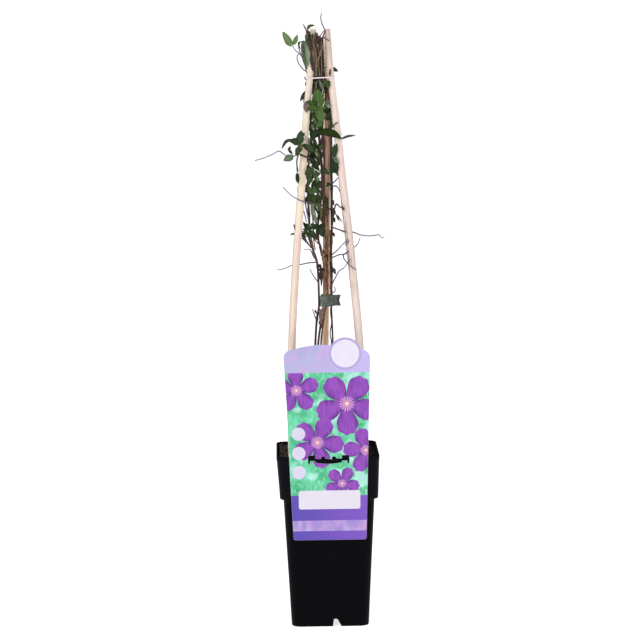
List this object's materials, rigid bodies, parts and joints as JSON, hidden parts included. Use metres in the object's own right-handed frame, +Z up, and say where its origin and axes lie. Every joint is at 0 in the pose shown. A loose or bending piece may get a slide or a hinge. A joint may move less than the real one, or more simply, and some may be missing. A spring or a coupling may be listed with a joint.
{
  "type": "potted climbing plant",
  "caption": "Young climbing clematis: thin stems and lobed leaves on a tripod of canes, in a tall square pot with a large blank-text plant label hung on its rim.",
  "frame": {"origin": "middle of the pot's underside, on the plane that it stands on", "axes": "+Z up the plant, -Y towards the label's printed side (the front), +X to the right as seen from the front"},
  "size_m": [0.1393, 0.1156, 0.6641],
  "materials": {
    "bark": "thin dark reddish-brown bark, silky",
    "cane_dark": "peeled wood, yellower and darker, matt",
    "cane_pale": "peeled pale wood, matt, faint grain and knots",
    "compost": "loose peat and bark fibre, matt",
    "elastic": "white elastic, satin",
    "green_tape": "dull grey-green tying tape, finely ribbed",
    "label_sheet": "printed plastic sheet, satin, mauve flowers on green",
    "leaf_bright": "fresh bright green leaf, satin above",
    "leaf_dark": "dark green leaf, satin above",
    "leaf_dry": "dry brown bract, matt",
    "leaf_green": "mid green leaf, satin above",
    "leaf_grey": "grey-green downy leaf, matt",
    "leaf_olive": "olive leaf, matt",
    "pot_plastic": "black moulded polypropylene, satin, a little dusty"
  },
  "bodies": {
    "root": {"bract_dry": "leaf_dry", "bract_mid": "leaf_dry", "bract_small": "leaf_dry", "cane_back": "cane_dark", "cane_band": "elastic", "cane_left": "cane_pale", "cane_right": "cane_pale", "compost": "compost", "leaf_arched": "leaf_dark", "leaf_back_1": "leaf_dark", "leaf_back_2": "leaf_green", "leaf_back_3": "leaf_olive", "leaf_back_4": "leaf_dark", "leaf_back_5": "leaf_green", "leaf_back_6": "leaf_olive", "leaf_back_7": "leaf_dark", "leaf_back_8": "leaf_green", "leaf_back_9": "leaf_olive", "leaf_bright_cluster": "leaf_bright", "leaf_bright_small": "leaf_bright", "leaf_central": "leaf_dark", "leaf_chain": "leaf_green", "leaf_dark_right": "leaf_dark", "leaf_fuzzy_shoot": "leaf_dark", "leaf_grey_mid": "leaf_dark", "leaf_left_cluster": "leaf_green", "leaf_left_drooping": "leaf_dark", "leaf_left_hanging": "leaf_dark", "leaf_left_narrow": "leaf_dark", "leaf_left_rounded": "leaf_grey", "leaf_left_small": "leaf_dark", "leaf_left_tip": "leaf_dark", "leaf_left_upper": "leaf_dark", "leaf_long_grey": "leaf_grey", "leaf_low_mid": "leaf_dark", "leaf_low_right": "leaf_dark", "leaf_mid": "leaf_green", "leaf_nub_high": "leaf_dark", "leaf_nub_low": "leaf_dark", "leaf_right_dark": "leaf_dark", "leaf_right_pair": "leaf_olive", "leaf_right_top": "leaf_dark", "leaf_sheath": "leaf_olive", "leaf_star_left": "leaf_dark", "leaf_star_right": "leaf_dark", "leaf_top_left": "leaf_grey", "leaf_under_band": "leaf_dark", "leaf_under_band_right": "leaf_green", "leaf_wrinkled": "leaf_green", "plant_label": "label_sheet", "pot": "pot_plastic", "stem_left": "bark", "stem_middle": "bark", "stem_right": "bark", "stem_slim": "bark", "stem_tie": "green_tape"}
  },
  "joints": []
}
